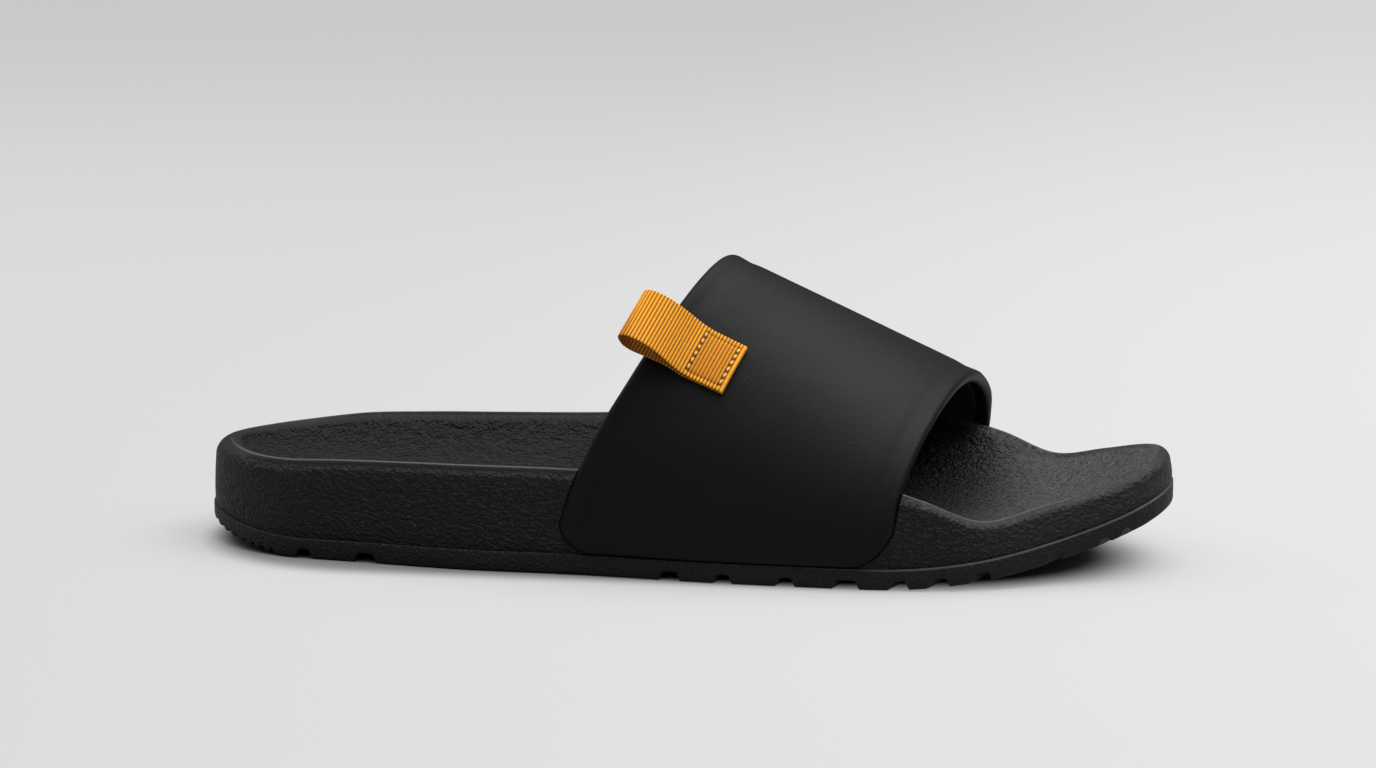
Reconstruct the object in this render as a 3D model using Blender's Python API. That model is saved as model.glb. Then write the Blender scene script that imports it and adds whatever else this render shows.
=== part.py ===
"""A sport slide sandal for the right foot: toe along +X, lateral side along -Y, standing on Z = 0.

Four closed pieces: the rubber outsole, the moulded midsole with its footbed, the strap with a wall
of real thickness, and the webbing pull loop. Lengths are metres. The tables hold hand-chosen shares
of the named sizes, and a smooth curve runs through each column.
"""
import bpy
import bmesh
import numpy as np

MM = 0.001

# Overall size of the sole.
LENGTH = 284.0 * MM
BALL_WIDTH = 106.0 * MM
HEEL_WIDTH = 74.0 * MM
HEEL_CAP = 0.13          # share of LENGTH over which the heel end rounds off
TOE_CAP = 0.30           # the same for the toe end
HEEL_ROUNDNESS = 2.0
TOE_ROUNDNESS = 2.15

# Rise of the underside at its two ends.
TOE_SPRING = 18.6 * MM
SPRING_START = 0.70      # share of LENGTH where the toe spring begins
SPRING_POWER = 2.15
HEEL_BEVEL = 6.5 * MM

# Rubber outsole.
OUTSOLE_SIDE = 6.0 * MM
OUTSOLE_HEEL_RISE = 5.0 * MM
OUTSOLE_EDGE = 1.0 * MM
GROOVE_DEPTH = 2.5 * MM
HEEL_RIB_DEPTH = 0.8 * MM
HEEL_RIB_WIDTH = 1.0 * MM
TREAD_OVERRUN = 3.0 * MM # how far the tread's bars run below and past the rubber

# Moulded midsole.
GLUE_LINE = 0.3 * MM     # air left between neighbouring pieces
LIP = 0.5 * MM           # how far the outsole stands proud of the midsole
EDGE_BREAK = 0.4 * MM    # lean of the midsole's side at its foot and below its rim
RIM_SHOULDER = 0.9 * MM  # from the crest in to the edge of the footbed
RIM_HEIGHT = 28.6 * MM   # tallest rim above the parting line
RIM_RADIUS = 3.0 * MM
RIM_STEP = 1.1 * MM      # drop from the rim to the edge of the footbed
FLOOR_HEIGHT = 20.5 * MM # centre of the footbed at the waist, above the ground
CUP_POWER = 3.0          # how late the footbed turns up into the rim
ARCH_RISE = 2.5 * MM

# Strap.
STRAP_WALL = 3.8 * MM
STRAP_PROUD = 1.0 * MM   # how far the strap stands out of the sole's side
STRAP_FOOT = 10.0 * MM   # straight part of each strap end
STRAP_REAR_HEIGHT = 84.35 * MM
STRAP_FRONT_HEIGHT = 53.8 * MM
STRAP_REAR_AT = 0.56     # shares of LENGTH where the two heights are taken
STRAP_FRONT_AT = 0.78
CROWN_SHIFT = 8.0 * MM   # the crown leans to the medial side
SIDE_FULLNESS = 1.9
CROWN_FULLNESS = 2.0
REAR_CORNER = 8.5 * MM
FRONT_CORNER = 9.8 * MM
HEM_WIDTH = 5.4 * MM     # distance from each free edge to the valley of its seam
HEM_SPREAD = 2.4 * MM
REAR_HEM_DEPTH = 0.6 * MM
FRONT_HEM_DEPTH = 0.5 * MM

# Pull loop of folded webbing.
WEBBING_WIDTH = 16.0 * MM
WEBBING_THICKNESS = 0.8 * MM
LOOP_LENGTH = 32.8 * MM
LOOP_OPENING = 9.6 * MM
LOOP_ALONG = 0.569       # share of LENGTH where the stitched end sits on the strap
LOOP_ARCH = -0.430       # place over the arch, -1 lateral foot, 0 crown, 1 medial foot
LOOP_TILT = 0.49         # radians from level toward the crown
SEWN_LENGTH = 12.0 * MM  # the tape hugs the strap this far, then runs out flat across
SEWN_BLEND = 10.0 * MM

STATIONS = 56
CROSS_CELLS = 14
STRAP_CELLS = 14
FOOT_CELLS = 7
ARCH_CELLS = 40

# share of LENGTH, width from HEEL_WIDTH (0) to BALL_WIDTH (1), centreline shift / half ball width
OUTLINE = [
    (0.00, -0.30, 0.020),
    (0.15, -0.02, 0.005),
    (0.30, 0.11, -0.085),
    (0.42, 0.14, -0.110),
    (0.55, 0.49, -0.095),
    (0.66, 0.80, -0.035),
    (0.74, 0.95, 0.000),
    (0.82, 1.01, 0.038),
    (0.90, 0.98, 0.073),
    (1.00, 0.95, -0.080),
]

# share of LENGTH, lateral rim / RIM_HEIGHT, medial rim / RIM_HEIGHT, rim radius / RIM_RADIUS
RIM = [
    (0.00, 0.640, 0.640, 1.60),
    (0.05, 0.724, 0.740, 1.30),
    (0.12, 0.790, 0.850, 1.00),
    (0.20, 0.822, 0.893, 0.90),
    (0.35, 0.843, 0.941, 0.90),
    (0.50, 0.829, 0.986, 0.90),
    (0.62, 0.853, 1.000, 0.90),
    (0.70, 0.846, 0.958, 0.90),
    (0.76, 0.640, 0.874, 0.90),
    (0.82, 0.357, 0.662, 0.90),
    (0.88, 0.353, 0.342, 0.90),
    (0.94, 0.318, 0.300, 1.00),
    (1.00, 0.300, 0.300, 1.20),
]

# share of LENGTH, footbed centre / FLOOR_HEIGHT, step at the rim / RIM_STEP
FLOOR = [
    (0.00, 1.00, 0.30),
    (0.12, 0.98, 0.80),
    (0.20, 0.95, 0.90),
    (0.35, 1.00, 0.90),
    (0.50, 0.93, 0.90),
    (0.62, 0.77, 0.90),
    (0.70, 0.73, 0.90),
    (0.76, 0.73, 0.90),
    (0.82, 0.80, 1.00),
    (0.88, 0.95, 1.00),
    (0.94, 1.16, 0.80),
    (1.00, 1.42, 0.20),
]

# place over the arch, rear edge / LENGTH, front edge / LENGTH
STRAP_EDGES = [
    (-1.00, 0.4000, 0.7210),
    (-0.85, 0.3970, 0.7260),
    (-0.75, 0.3990, 0.7315),
    (-0.65, 0.4220, 0.7375),
    (-0.50, 0.4655, 0.7520),
    (-0.35, 0.5015, 0.7680),
    (-0.20, 0.5265, 0.7820),
    (0.00, 0.5445, 0.7965),
    (0.20, 0.5490, 0.8050),
    (0.35, 0.5220, 0.8095),
    (0.50, 0.4820, 0.8075),
    (0.65, 0.4460, 0.8025),
    (0.75, 0.4270, 0.7955),
    (0.85, 0.4140, 0.7865),
    (1.00, 0.4080, 0.7740),
]

# along the webbing / LOOP_LENGTH, lift of its middle layer / LOOP_OPENING
LOOP_PATH = [
    (0.00, 0.000),
    (0.20, 0.000),
    (0.36, 0.000),
    (0.44, 0.065),
    (0.54, 0.125),
    (0.66, 0.115),
    (0.78, 0.080),
    (0.88, 0.070),
    (0.95, 0.160),
    (0.99, 0.380),
    (1.00, 0.580),
    (0.98, 0.770),
    (0.92, 0.915),
    (0.84, 0.955),
    (0.74, 0.900),
    (0.64, 0.735),
    (0.54, 0.500),
    (0.45, 0.300),
    (0.37, 0.190),
    (0.29, 0.125),
    (0.15, 0.110),
    (0.00, 0.110),
]

# share of LENGTH, width / GROOVE_DEPTH, depth / GROOVE_DEPTH, forward bow / GROOVE_DEPTH
GROOVES = [
    (0.126, 1.36, 1.0, -2.0),
    (0.193, 1.96, 1.0, -2.0),
    (0.509, 1.72, 1.0, 2.0),
    (0.563, 1.36, 1.0, 2.4),
    (0.625, 1.48, 1.0, 2.8),
    (0.685, 2.24, 1.0, 3.2),
    (0.737, 1.56, 1.0, 3.6),
    (0.776, 1.64, 1.0, 4.0),
    (0.817, 1.64, 1.0, 4.0),
    (0.886, 1.10, 0.8, 4.0),
    (0.935, 0.80, 0.6, 3.2),
    (0.956, 0.76, 0.6, 2.8),
]
HEEL_RIBS = [0.045, 0.056, 0.067, 0.078, 0.089]


def through(rows, column, x):
    """Smooth curve through one column of a table, read at x of its first column."""
    at = np.array([row[0] for row in rows])
    value = np.array([row[column] for row in rows])
    slope = np.gradient(value, at)
    x = np.clip(x, at[0], at[-1])
    i = np.clip(np.searchsorted(at, x, side="right") - 1, 0, len(at) - 2)
    span = at[i + 1] - at[i]
    t = (x - at[i]) / span
    return ((2 * t**3 - 3 * t**2 + 1) * value[i] + (t**3 - 2 * t**2 + t) * span * slope[i]
            + (-2 * t**3 + 3 * t**2) * value[i + 1] + (t**3 - t**2) * span * slope[i + 1])


# Sole curves over a share of LENGTH.

def cap(share):
    """How full the outline is: 0 at the two tips, 1 along the middle."""
    heel = np.clip(1 - share / HEEL_CAP, 0, 1)
    toe = np.clip(1 - (1 - share) / TOE_CAP, 0, 1)
    return ((1 - heel**HEEL_ROUNDNESS) ** (1 / HEEL_ROUNDNESS)
            * (1 - toe**TOE_ROUNDNESS) ** (1 / TOE_ROUNDNESS))


def half_width(share):
    spread = (BALL_WIDTH - HEEL_WIDTH) * through(OUTLINE, 1, share)
    return (HEEL_WIDTH + spread) / 2 * cap(share)


def centreline(share):
    return BALL_WIDTH / 2 * through(OUTLINE, 2, share)


def toe_spring(share):
    return TOE_SPRING * np.clip((share - SPRING_START) / (1 - SPRING_START), 0, 1) ** SPRING_POWER


def ground(share):
    return toe_spring(share) + HEEL_BEVEL * np.clip(1 - share / HEEL_CAP, 0, 1) ** 2


def parting(share):
    """Top of the outsole's side, where the midsole begins."""
    rise = OUTSOLE_HEEL_RISE * np.clip(1 - share / HEEL_CAP, 0, 1) ** 2
    return toe_spring(share) + OUTSOLE_SIDE + rise


def rim(share, across):
    """Rim crest at a share, blended from the lateral (-1) to the medial (1) side."""
    lateral = through(RIM, 1, share)
    medial = through(RIM, 2, share)
    return parting(share) + RIM_HEIGHT * ((1 - across) * lateral + (1 + across) * medial) / 2


def footbed(share, across):
    """Foot side of the midsole: a cup that turns up into the rim all round."""
    fullness = cap(share)
    radial = np.sqrt(np.clip(1 - fullness**2 * (1 - across**2), 0, 1))
    floor = FLOOR_HEIGHT * through(FLOOR, 1, share)
    edge = rim(share, across) - RIM_STEP * through(FLOOR, 2, share)
    arch = ARCH_RISE * np.exp(-((share - 0.42) / 0.11) ** 2 - ((across - 0.62) / 0.28) ** 2)
    return floor + (edge - floor) * radial**CUP_POWER + arch * (1 - radial**4)


# Rings round the sole: heel tip, lateral side, toe tip, medial side.

SHARES = 0.5 * (1 - np.cos(np.pi * np.arange(STATIONS + 1) / STATIONS))
RING_SHARES = np.concatenate([SHARES, SHARES[-2:0:-1]])
RING_SIDES = np.concatenate([[0], -np.ones(STATIONS - 1), [0], np.ones(STATIONS - 1)])


def ring(inset):
    """The sole's outline moved inward by an inset, one number or one for each point."""
    x = LENGTH * RING_SHARES
    y = centreline(RING_SHARES) + RING_SIDES * half_width(RING_SHARES)
    loop = np.stack([x, y], 1)
    along = np.roll(loop, -1, 0) - np.roll(loop, 1, 0)
    along /= np.linalg.norm(along, axis=1)[:, None]
    inward = np.stack([-along[:, 1], along[:, 0]], 1)
    return loop + inward * np.broadcast_to(inset, len(loop))[:, None]


def raised(loop, height):
    return np.column_stack([loop, np.broadcast_to(height, len(loop))])


def cross_rows(loop, cells, height):
    """Rows of points from side to side inside a ring, with a height for each share and place."""
    rows = []
    places = -np.cos(np.pi * np.arange(cells + 1) / cells)
    for i in range(1, STATIONS):
        a, b = loop[i], loop[-i]
        for t in places[1:-1]:
            x, y = (a[:2] * (1 - t) + b[:2] * (1 + t)) / 2
            rows.append((x, y, height(x, SHARES[i], t)))
    return rows


def cover(first, rows_at, cells):
    """Faces closing a ring: cross rows between the sides and a fan at each tip."""

    def row(i):
        inner = [rows_at + (i - 1) * (cells - 1) + k for k in range(cells - 1)]
        return [first + i] + inner + [first + 2 * STATIONS - i]

    faces = []
    for i in range(1, STATIONS - 1):
        a, b = row(i), row(i + 1)
        faces += [(a[k], b[k], b[k + 1], a[k + 1]) for k in range(cells)]
    heel, toe = row(1), row(STATIONS - 1)
    faces += [(first, heel[k], heel[k + 1]) for k in range(cells)]
    faces += [(first + STATIONS, toe[k + 1], toe[k]) for k in range(cells)]
    return faces


# Strap surface over (share of LENGTH, place over the arch).

def strap_skin(share, place):
    """Outer face of the strap before its hems: straight feet joined by a leaning arch."""
    foot = parting(share) + GLUE_LINE
    spring = foot + STRAP_FOOT
    run = (share - STRAP_REAR_AT) / (STRAP_FRONT_AT - STRAP_REAR_AT)
    height = STRAP_REAR_HEIGHT + (STRAP_FRONT_HEIGHT - STRAP_REAR_HEIGHT) * run
    reach = np.abs(place)
    turn = np.clip((0.75 - reach) / 0.75, 1e-6, 1) * np.pi / 2
    out = np.maximum(np.cos(turn), 1e-6) ** (2 / SIDE_FULLNESS)
    up = np.sin(turn) ** (2 / CROWN_FULLNESS)
    half = half_width(share) + STRAP_PROUD
    y = centreline(share) + np.sign(place) * half * out + CROWN_SHIFT * np.sin(turn)
    z = np.where(reach > 0.75, spring - STRAP_FOOT * (reach - 0.75) / 0.25,
                 spring + (height - spring) * up)
    return np.stack([share * LENGTH, y, z], -1)


def strap_normal(share, place):
    step = 1e-3
    across = strap_skin(share, place + step) - strap_skin(share, place - step)
    along = strap_skin(share + step, place) - strap_skin(share - step, place)
    normal = np.cross(along, across)
    return normal / np.linalg.norm(normal, axis=-1)[..., None]


def strap_edges(place, grow):
    """Shares of LENGTH of the rear and front edges, with the lower corners rounded."""
    low = np.clip((1 - np.abs(place)) / 0.25, 0, 1) * STRAP_FOOT

    def corner(radius):
        return radius - np.sqrt((radius + grow) ** 2 - np.clip(radius - low, 0, radius) ** 2)

    rear = through(STRAP_EDGES, 1, place) + corner(REAR_CORNER) / LENGTH
    front = through(STRAP_EDGES, 2, place) - corner(FRONT_CORNER) / LENGTH
    return rear, front


def strap_sheet(places, columns, grow):
    """Points of the strap, a row for each place over the arch.

    A column is (share of the strap's width, distance added to it, depth below the outer face).
    """
    place = places[:, None]
    part, shift, depth = (np.array(column)[None, :] for column in zip(*columns))
    rear, front = strap_edges(place, grow)
    width = np.linalg.norm(strap_skin(front, place) - strap_skin(rear, place), axis=-1)
    run = part * width + shift
    share = rear + (front - rear) * run / width
    valley = (REAR_HEM_DEPTH * np.exp(-((run - HEM_WIDTH) / HEM_SPREAD) ** 2)
              + FRONT_HEM_DEPTH * np.exp(-((width - run - HEM_WIDTH) / HEM_SPREAD) ** 2))
    outside = np.clip(1 - depth / STRAP_WALL, 0, 1)
    sunk = depth + valley * outside * np.clip(1.15 - np.abs(place), 0, 1) ** 0.7
    place = place + 0 * share
    return strap_skin(share, place) - strap_normal(share, place) * sunk[..., None]


def width_parts(cells):
    """Shares of the strap's width, closer together near its two free edges."""
    even = np.linspace(0, 1, cells + 1)
    return even - 0.09 * np.sin(2 * np.pi * even)


def wall_columns(cells):
    """Columns once round the strap's wall, whose two free edges are full rounds."""
    radius = STRAP_WALL / 2
    parts = width_parts(cells)
    turns = np.radians([30, 60, 90, 120, 150])
    outer = [(t, radius * (1 - 2 * t), 0) for t in parts]
    front = [(1, radius * (np.sin(a) - 1), radius * (1 - np.cos(a))) for a in turns]
    inner = [(t, radius * (1 - 2 * t), STRAP_WALL) for t in parts[::-1]]
    rear = [(0, radius * (1 - np.sin(a)), radius * (1 + np.cos(a))) for a in turns]
    return outer + front + inner + rear


def strap_places(foot_cells, arch_cells):
    """Places over the arch, closer together at the rounded corners of the two feet."""
    foot = 1 - 0.25 * np.linspace(0, 1, foot_cells + 1) ** 2
    arch = np.linspace(-0.75, 0.75, arch_cells + 1)
    return np.concatenate([-foot, arch[1:-1], foot[::-1]])


def tube(sheet):
    """Points and faces of rows of closed loops, closed at both ends."""
    rows, columns = sheet.shape[:2]
    faces = [tuple(range(columns))[::-1], tuple((rows - 1) * columns + j for j in range(columns))]
    for i in range(rows - 1):
        for j in range(columns):
            k = (j + 1) % columns
            faces.append((i * columns + j, i * columns + k,
                          (i + 1) * columns + k, (i + 1) * columns + j))
    return [tuple(p) for p in sheet.reshape(-1, 3)], faces


# Pull loop, laid on the strap's outer face from its stitched end to its fold past the rear edge.

def loop_frame():
    origin = strap_skin(np.array(LOOP_ALONG), np.array(LOOP_ARCH))
    normal = strap_normal(np.array(LOOP_ALONG), np.array(LOOP_ARCH))
    level = np.array([normal[1], -normal[0], 0]) / np.hypot(normal[0], normal[1])
    rise = np.cross(level, normal)
    along = np.cos(LOOP_TILT) * level + np.sin(LOOP_TILT) * rise
    return origin, along, np.cross(along, normal), normal


def skin_height(along, across):
    """Height of the strap's outer face over the loop's own plane."""
    origin, run, side, normal = loop_frame()
    share = LOOP_ALONG - along / LENGTH * 0.9
    place = LOOP_ARCH + across / (2 * BALL_WIDTH)

    def miss(share, place):
        offset = strap_skin(share, place) - origin
        return offset @ run - along, offset @ side - across

    step = 1e-5
    for _ in range(8):
        a, b = miss(share, place)
        a_share, b_share = miss(share + step, place)
        a_place, b_place = miss(share, place + step)
        aa, ab = (a_share - a) / step, (a_place - a) / step
        ba, bb = (b_share - b) / step, (b_place - b) / step
        det = aa * bb - ab * ba
        share = share - (a * bb - ab * b) / det
        place = place - (aa * b - a * ba) / det
    return (strap_skin(share, place) - origin) @ normal


def loop_path(cells):
    """Middle layer of the webbing as (along, lift), smooth through LOOP_PATH."""
    knots = [(i,) + point for i, point in enumerate(LOOP_PATH)]
    at = np.linspace(0, len(knots) - 1, cells * (len(knots) - 1) + 1)
    rest = GLUE_LINE + WEBBING_THICKNESS / 2
    return through(knots, 1, at) * LOOP_LENGTH, through(knots, 2, at) * LOOP_OPENING + rest


def webbing_sheet(path_cells, width_cells):
    """Rows along the folded webbing, each a closed loop round its thickness and width."""
    along, lift = loop_path(path_cells)
    tangent = np.stack([np.gradient(along), np.gradient(lift)], 1)
    tangent /= np.linalg.norm(tangent, axis=1)[:, None]
    outward = np.stack([tangent[:, 1], -tangent[:, 0]], 1) * WEBBING_THICKNESS / 2
    side = np.linspace(-0.5, 0.5, width_cells + 1) * WEBBING_WIDTH
    origin, run, across, normal = loop_frame()
    faces_of_web = []
    for sign, places in ((1, side), (-1, side[::-1])):
        a = (along + sign * outward[:, 0])[:, None] + 0 * places[None, :]
        h = (lift + sign * outward[:, 1])[:, None] + 0 * places[None, :]
        b = places[None, :] + 0 * a
        free = np.clip((a - SEWN_LENGTH) / SEWN_BLEND, 0, 1)
        h = h + skin_height(a, b * (1 - free * free * (3 - 2 * free)))
        faces_of_web.append(origin + a[..., None] * run + b[..., None] * across
                            + h[..., None] * normal)
    return np.concatenate(faces_of_web, axis=1)


# Tread, as tapered bars that follow the underside.

def tread_bar(share, width, depth, bow):
    """One bar across the sole, level with a share of LENGTH at both of its edges."""
    rows = []
    reach = BALL_WIDTH / 2 * 1.15 + TREAD_OVERRUN
    for y in np.linspace(-reach, reach, 15):
        place = np.clip((y - centreline(share)) / half_width(share), -1, 1)
        x = share * LENGTH + bow * (1 - place**2)
        z = ground(x / LENGTH)
        step = 0.002
        slope = np.arctan((ground(x / LENGTH + step) - ground(x / LENGTH - step))
                          / (2 * step * LENGTH))
        foot, head = width / 2 + TREAD_OVERRUN * 0.25, width / 2 - depth * 0.12
        profile = [(-foot, -TREAD_OVERRUN), (foot, -TREAD_OVERRUN), (head, depth), (-head, depth)]
        rows.append([(x + a * np.cos(slope) - b * np.sin(slope), y,
                      z + a * np.sin(slope) + b * np.cos(slope)) for a, b in profile])
    return tube(np.array(rows))


# Objects.

for old in list(bpy.data.objects):
    bpy.data.objects.remove(old, do_unlink=True)


def solid(name, points, faces, colour, roughness):
    mesh = bpy.data.meshes.new(name)
    mesh.from_pydata(points, [], faces)
    work = bmesh.new()
    work.from_mesh(mesh)
    bmesh.ops.recalc_face_normals(work, faces=work.faces)
    work.to_mesh(mesh)
    work.free()
    mesh.shade_smooth()
    mesh.set_sharp_from_angle(angle=np.radians(35))
    made = bpy.data.objects.new(name, mesh)
    bpy.context.scene.collection.objects.link(made)
    material = bpy.data.materials.new(name)
    material.use_nodes = True
    shader = material.node_tree.nodes["Principled BSDF"]
    shader.inputs["Base Color"].default_value = (*colour, 1)
    shader.inputs["Roughness"].default_value = roughness
    mesh.materials.append(material)
    return made


def cut(body, cutter):
    cutter.hide_render = True
    cutter.display_type = "WIRE"
    change = body.modifiers.new(cutter.name, "BOOLEAN")
    change.operation = "DIFFERENCE"
    change.solver = "EXACT"
    change.object = cutter


def sole_body(name, rings, under, over, cells, colour, roughness):
    """A closed body from rings stacked upward, with rows across its underside and its top."""
    count = 2 * STATIONS
    points = [tuple(p) for one in rings for p in one]
    faces = []
    for k in range(len(rings) - 1):
        for i in range(count):
            a, b = k * count + i, k * count + (i + 1) % count
            faces.append((a, b, b + count, a + count))
    for first, loop, height, across in ((0, rings[0], under, 2),
                                        (len(points) - count, rings[-1], over, cells)):
        at = len(points)
        points += cross_rows(loop, across, height)
        faces += cover(first, at, across)
    return solid(name, points, faces, colour, roughness)


def outsole():
    def level(inset, height):
        loop = ring(inset)
        return raised(loop, height(loop[:, 0] / LENGTH))

    rings = [
        level(OUTSOLE_EDGE, ground),
        level(OUTSOLE_EDGE * 0.3, lambda s: ground(s) + OUTSOLE_EDGE * 0.35),
        level(0, lambda s: ground(s) + OUTSOLE_EDGE),
        level(0, lambda s: parting(s) - OUTSOLE_EDGE * 0.4),
        level(OUTSOLE_EDGE * 0.4, parting),
    ]
    body = sole_body("outsole", rings, lambda x, s, t: ground(x / LENGTH),
                     lambda x, s, t: parting(x / LENGTH), 2, (0.030, 0.030, 0.031), 0.62)
    points, faces = [], []
    bars = [(share, width * GROOVE_DEPTH, depth * GROOVE_DEPTH, bow * GROOVE_DEPTH)
            for share, width, depth, bow in GROOVES]
    bars += [(share, HEEL_RIB_WIDTH, HEEL_RIB_DEPTH, -HEEL_RIB_WIDTH * 3) for share in HEEL_RIBS]
    for bar in bars:
        bar_points, bar_faces = tread_bar(*bar)
        faces += [tuple(len(points) + i for i in face) for face in bar_faces]
        points += bar_points
    tread = solid("tread_cutter", points, faces, (0.030, 0.030, 0.031), 0.62)
    cut(body, tread)
    return body, tread


def midsole():
    crest = rim(RING_SHARES, RING_SIDES)
    radius = RIM_RADIUS * through(RIM, 3, RING_SHARES)
    step = RIM_STEP * through(FLOOR, 2, RING_SHARES)
    side = LIP + EDGE_BREAK

    def foot(inset, lift):
        loop = ring(inset)
        return raised(loop, parting(loop[:, 0] / LENGTH) + GLUE_LINE + lift)

    def wall(inset, part):
        low = parting(RING_SHARES) + GLUE_LINE
        return raised(ring(inset), low + (crest - radius - low) * part)

    def round_over(angle):
        inset = side + radius * (1 - np.cos(angle))
        return raised(ring(inset), crest - radius * (1 - np.sin(angle)))

    rings = [
        foot(LIP + EDGE_BREAK, 0),
        foot(LIP, EDGE_BREAK),
        wall(LIP - EDGE_BREAK * 0.25, 0.35),
        wall(LIP + EDGE_BREAK * 0.25, 0.72),
        round_over(0),
        round_over(np.radians(30)),
        round_over(np.radians(60)),
        round_over(np.radians(90)),
        raised(ring(side + radius + RIM_SHOULDER), crest - step),
    ]
    body = sole_body("midsole", rings, lambda x, s, t: parting(x / LENGTH) + GLUE_LINE,
                     lambda x, s, t: footbed(s, t), CROSS_CELLS, (0.022, 0.022, 0.023), 0.55)
    parts = width_parts(STRAP_CELLS)
    frame = ([(t, 0, -2 * STRAP_WALL) for t in parts]
             + [(t, 0, STRAP_WALL + GLUE_LINE) for t in parts[::-1]])
    places = np.concatenate([[-1.12], strap_places(FOOT_CELLS, ARCH_CELLS), [1.12]])
    recess = solid("strap_recess_cutter", *tube(strap_sheet(places, frame, GLUE_LINE)),
                   (0.022, 0.022, 0.023), 0.55)
    cut(body, recess)
    return body, recess


sole, tread_cutter = outsole()
foam, recess_cutter = midsole()
strap = solid("strap", *tube(strap_sheet(strap_places(FOOT_CELLS, ARCH_CELLS),
                                         wall_columns(STRAP_CELLS), 0.0)),
              (0.018, 0.018, 0.019), 0.60)
loop = solid("pull_loop", *tube(webbing_sheet(2, 4)), (0.70, 0.40, 0.05), 0.75)

# The object stands centred over the origin.
corners = np.array([v.co for made in (sole, foam, strap, loop) for v in made.data.vertices])
low, high = corners.min(0), corners.max(0)
shoe = bpy.data.objects.new("slide_sandal", None)
shoe.location = (-(low[0] + high[0]) / 2, -(low[1] + high[1]) / 2, -low[2])
bpy.context.scene.collection.objects.link(shoe)
for made in (sole, tread_cutter, foam, recess_cutter, strap, loop):
    made.parent = shoe
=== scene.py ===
# %% [markdown]
# # A slide sandal: black foam, rubber and leather with a mustard pull loop
#
# The sandal's solids are already drawn. This lesson dresses them: each solid is stood in
# for by a finer surface of the same form, and each surface gets its own finish. Everything is in
# metres, with the toe along +X, the lateral side along -Y and the floor at Z = 0.

import bmesh
import bpy
import numpy as np
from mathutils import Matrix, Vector


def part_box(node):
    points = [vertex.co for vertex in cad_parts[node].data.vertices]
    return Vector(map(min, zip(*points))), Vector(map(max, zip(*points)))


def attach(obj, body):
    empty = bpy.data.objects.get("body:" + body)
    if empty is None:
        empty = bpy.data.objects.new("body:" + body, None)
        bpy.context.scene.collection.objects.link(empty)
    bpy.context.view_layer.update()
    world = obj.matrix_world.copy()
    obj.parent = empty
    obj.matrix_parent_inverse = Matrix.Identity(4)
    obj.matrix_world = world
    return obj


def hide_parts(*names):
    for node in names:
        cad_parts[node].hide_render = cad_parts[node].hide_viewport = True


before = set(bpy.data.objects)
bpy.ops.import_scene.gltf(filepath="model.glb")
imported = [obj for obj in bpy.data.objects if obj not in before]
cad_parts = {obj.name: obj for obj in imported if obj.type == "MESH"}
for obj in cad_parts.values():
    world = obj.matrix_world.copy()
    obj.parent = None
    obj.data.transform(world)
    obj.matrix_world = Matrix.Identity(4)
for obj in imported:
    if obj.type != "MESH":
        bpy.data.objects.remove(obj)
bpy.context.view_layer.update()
MM = 0.001


def put(name, data):
    """A new object that holds the data, linked into the scene."""
    made = bpy.data.objects.new(name, data)
    bpy.context.scene.collection.objects.link(made)
    return made


# %% [markdown]
# ## The camera
#
# The photograph looks at the lateral side from a little above the sole, the toe turned slightly toward
# a long lens, which keeps both ends at nearly the same scale. The camera comes first, because every
# later choice is judged through it.

# %% Camera
AZIMUTH, ELEVATION = np.radians(8.3), np.radians(9.7)
DISTANCE = 0.9503
FOCAL_PIXELS, FRAME_PIXELS, FILM = 3250.0, 1376.0, 36.0
TARGET = np.array([0.0010, -0.0004, 0.04786])

camera = put("camera", bpy.data.cameras.new("camera"))
back = np.array([np.sin(AZIMUTH) * np.cos(ELEVATION), -np.cos(AZIMUTH) * np.cos(ELEVATION),
                 np.sin(ELEVATION)])
camera.location = TARGET + back * DISTANCE
camera.rotation_euler = Vector(-back).to_track_quat("-Z", "Y").to_euler()
camera.data.sensor_width = FILM
camera.data.lens = FOCAL_PIXELS * FILM / FRAME_PIXELS
bpy.context.scene.camera = camera

# %% [markdown]
# ## Curves through listed shares
#
# A sole has no simple formula, so its outline, rim and floor are tables of a few shares with a smooth
# curve through them. A cubic Hermite curve passes through each value, its slope from the neighbours.

# %% A smooth curve through a table
def through(rows, column, x):
    """Cubic Hermite curve through one column of a table, read at x of its first column."""
    rows = np.array(rows)
    at, value = rows[:, 0], rows[:, column]
    slope = np.gradient(value, at)
    x = np.clip(x, at[0], at[-1])
    i = np.clip(np.searchsorted(at, x, side="right") - 1, 0, len(at) - 2)
    span = at[i + 1] - at[i]
    t = (x - at[i]) / span
    return ((2 * t**3 - 3 * t**2 + 1) * value[i] + (t**3 - 2 * t**2 + t) * span * slope[i]
            + (-2 * t**3 + 3 * t**2) * value[i + 1] + (t**3 - t**2) * span * slope[i + 1])


def smooth(t):
    """The S-curve 3t^2 - 2t^3, held at 0 before 0 and at 1 after 1."""
    t = np.clip(t, 0, 1)
    return t * t * (3 - 2 * t)


def lengths(vectors):
    """Length of each vector, the last axis being its parts."""
    return np.linalg.norm(vectors, axis=-1)


def units(vectors):
    """The same directions, one long."""
    return vectors / lengths(vectors)[..., None]


# %% Sizes and outline of the sole
LENGTH, BALL_WIDTH, HEEL_WIDTH = 284.0 * MM, 106.0 * MM, 74.0 * MM
HEEL_CAP, TOE_CAP = 0.13, 0.30
HEEL_ROUNDNESS, TOE_ROUNDNESS = 2.0, 2.15
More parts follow.
